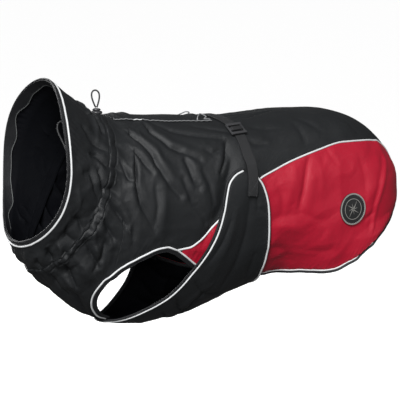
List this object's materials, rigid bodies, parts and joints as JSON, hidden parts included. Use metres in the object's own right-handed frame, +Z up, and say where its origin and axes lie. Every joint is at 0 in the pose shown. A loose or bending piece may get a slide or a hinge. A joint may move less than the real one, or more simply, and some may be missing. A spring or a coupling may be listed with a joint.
{
  "type": "dog coat",
  "caption": "Dog rain coat, filled out as if worn: high collar with a neck drawcord, leg openings, belly flap strapped over the back.",
  "frame": {"origin": "on the inner face of the back over the withers, just behind the neck drawcord, in the coat's middle plane, where a dog's back carries it", "axes": "+X from the neck toward the rump, +Y to the coat's right side, +Z up"},
  "size_m": [0.5387, 0.1856, 0.3064],
  "materials": {
    "nylon_black": "matte woven nylon with a slight sheen",
    "lining": "smooth black lining",
    "nylon_red": "matte woven nylon with a slight sheen",
    "edge_band": "matte woven nylon",
    "reflective_piping": "light grey retroreflective",
    "webbing": "ribbed webbing",
    "plastic": "satin",
    "badge": "rubbery print with a grey ring",
    "cord": "round elastic cord"
  },
  "bodies": {
    "root": {"collar": "nylon_black", "collar_rim_band": "nylon_black", "neck_channel": "nylon_black", "back_panel": "nylon_black", "breast_panel": "nylon_black", "belly_flap": "nylon_black", "spine_placket": "nylon_black", "collar_facing": "lining", "side_panel_left": "nylon_red", "side_panel_right": "nylon_red", "leg_band_left": "edge_band", "leg_band_right": "edge_band", "flap_front_band": "edge_band", "flap_rear_band": "edge_band", "hem_binding": "edge_band", "collar_piping": "reflective_piping", "colour_seam_piping_left": "reflective_piping", "colour_seam_piping_right": "reflective_piping", "leg_piping_left": "reflective_piping", "leg_piping_right": "reflective_piping", "flap_front_piping": "reflective_piping", "flap_rear_piping": "reflective_piping", "hem_piping": "reflective_piping", "placket_piping_left": "reflective_piping", "placket_piping_right": "reflective_piping", "belt_webbing": "webbing", "strap_left": "webbing", "strap_right": "webbing", "slider_left": "plastic", "slider_right": "plastic", "neck_cord_lock": "plastic", "badge": "badge", "neck_cord": "cord"}
  },
  "joints": []
}
